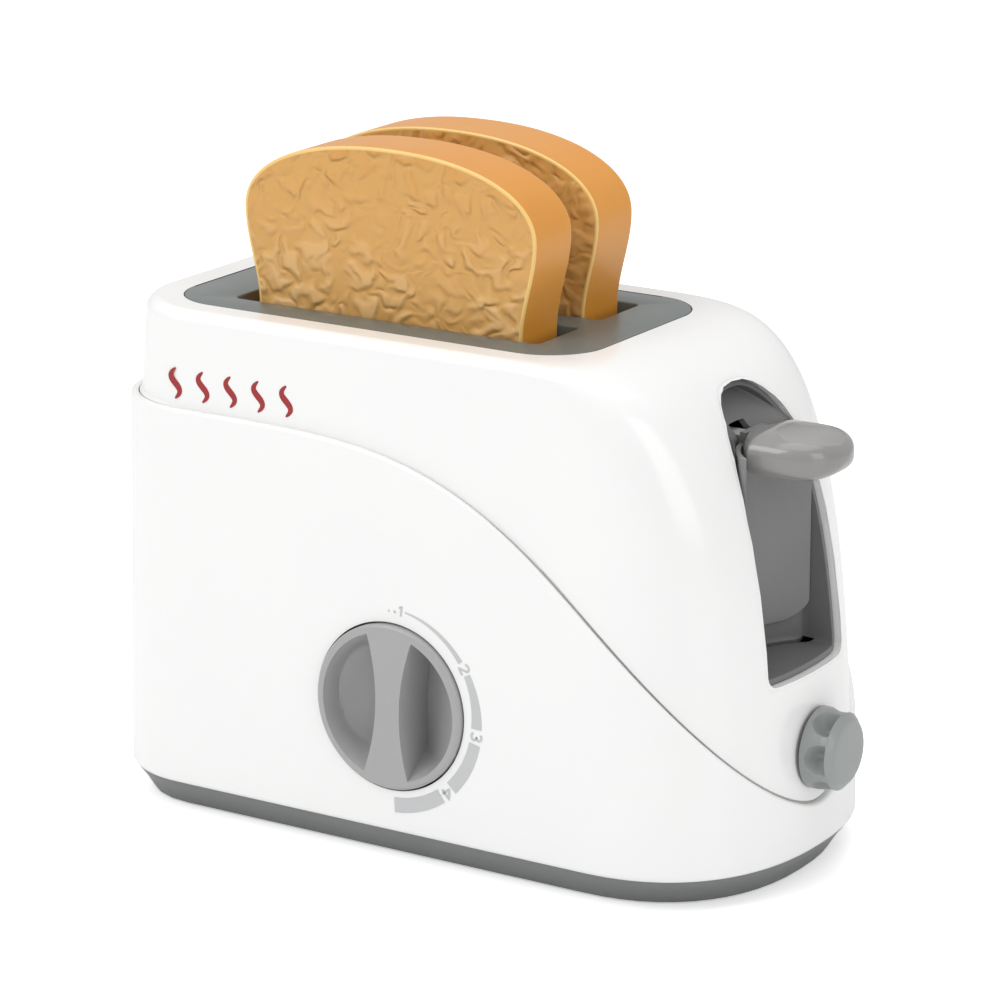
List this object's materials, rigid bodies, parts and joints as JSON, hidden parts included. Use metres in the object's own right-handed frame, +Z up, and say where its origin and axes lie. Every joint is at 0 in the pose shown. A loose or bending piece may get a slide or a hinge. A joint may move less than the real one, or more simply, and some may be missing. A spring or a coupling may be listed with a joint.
{
  "type": "toy pop-up toaster",
  "caption": "Toy pop-up toaster with a push-down lever on a sprung rack, liftable toy bread slices, a winding timer dial and a turning end knob.",
  "frame": {"origin": "on the floor at the middle of the body's length and width, on the underside of the middle pad", "axes": "+X towards the rounded lever end, -Y towards the long wall with the dial, +Z up"},
  "size_m": [0.2102, 0.1049, 0.1866],
  "materials": {
    "white_shell": "smooth glossy white moulding",
    "base_grey": "satin dark grey moulding",
    "pad_rubber": "dark rubber",
    "steel": "plain drawn and pressed steel",
    "plate_grey": "satin grey moulding",
    "recess_grey": "satin mid grey moulding",
    "rack_plastic": "pale grey slippery plastic",
    "control_grey": "glossy mid grey moulding",
    "bread_plastic": "toasted brown plastic, darker towards the crust",
    "brass": "cut and turned brass"
  },
  "bodies": {
    "housing": {"upper_housing": "white_shell", "lower_housing": "white_shell", "base_plate": "base_grey", "rubber_pads": "pad_rubber", "base_screws": "steel", "slot_plate": "plate_grey", "lever_recess": "recess_grey", "guide_rods": "steel", "stop_clips": "steel", "lift_springs": "steel", "timer_front_plate": "steel", "timer_back_plate": "steel", "timer_pillars": "brass", "timer_screws": "steel", "gear_pins": "steel", "mainspring": "steel", "latch_pin": "steel"},
    "rack": {"carriage": "rack_plastic", "lever": "control_grey", "lever_shield": "recess_grey", "lever_pin": "steel"},
    "front_slice": {"toast_front": "bread_plastic"},
    "rear_slice": {"toast_rear": "bread_plastic"},
    "dial": {"timer_dial": "control_grey", "timer_arbor": "steel", "main_wheel": "brass", "snail_cam": "brass"},
    "second": {"second_pinion": "brass", "second_wheel": "brass"},
    "fly": {"fly_pinion": "brass", "fly_vane": "steel"},
    "latch": {"latch_lever": "steel"},
    "knob": {"end_knob": "control_grey", "knob_clip": "steel"}
  },
  "joints": [
    {"name": "lever_slide", "type": "slide", "parent": "housing", "child": "rack", "axis": [0, 0, 1], "range_m": [-0.044, 0], "stiffness_N_per_m": 60, "springref_m": 0.05, "deforming": ["lift_springs"]},
    {"name": "front_slice_lift", "type": "slide", "parent": "rack", "child": "front_slice", "axis": [0, 0, 1], "range_m": [0, 0.06]},
    {"name": "rear_slice_lift", "type": "slide", "parent": "rack", "child": "rear_slice", "axis": [0, 0, 1], "range_m": [0, 0.06]},
    {"name": "dial_turn", "type": "hinge", "parent": "housing", "child": "dial", "pos_m": [0, -0.0531, 0.043], "axis": [0, 1, 0], "range_deg": [0, 195], "stiffness_Nm_per_rad": 0.01, "springref_deg": -20.05},
    {"name": "second_turn", "type": "hinge", "parent": "housing", "child": "second", "pos_m": [-0.021, -0.036, 0.043], "axis": [0, 1, 0], "range_deg": [-781, 0]},
    {"name": "fly_turn", "type": "hinge", "parent": "housing", "child": "fly", "pos_m": [-0.01546, -0.033, 0.05822], "axis": [0, 1, 0], "range_deg": [0, 2731]},
    {"name": "latch_turn", "type": "hinge", "parent": "housing", "child": "latch", "pos_m": [0.031, -0.0265, 0.0676], "axis": [0, 1, 0], "range_deg": [-11, 0]},
    {"name": "knob_turn", "type": "hinge", "parent": "housing", "child": "knob", "pos_m": [0.1, 0, 0.0356], "axis": [1, 0, 0], "range_deg": [-135, 135]}
  ],
  "couplings": [
    {"joint": "second_turn", "follows": "dial_turn", "ratio": -4},
    {"joint": "fly_turn", "follows": "dial_turn", "ratio": 14},
    {"joint": "latch_turn", "follows": "dial_turn", "ratio": -0.0564}
  ]
}
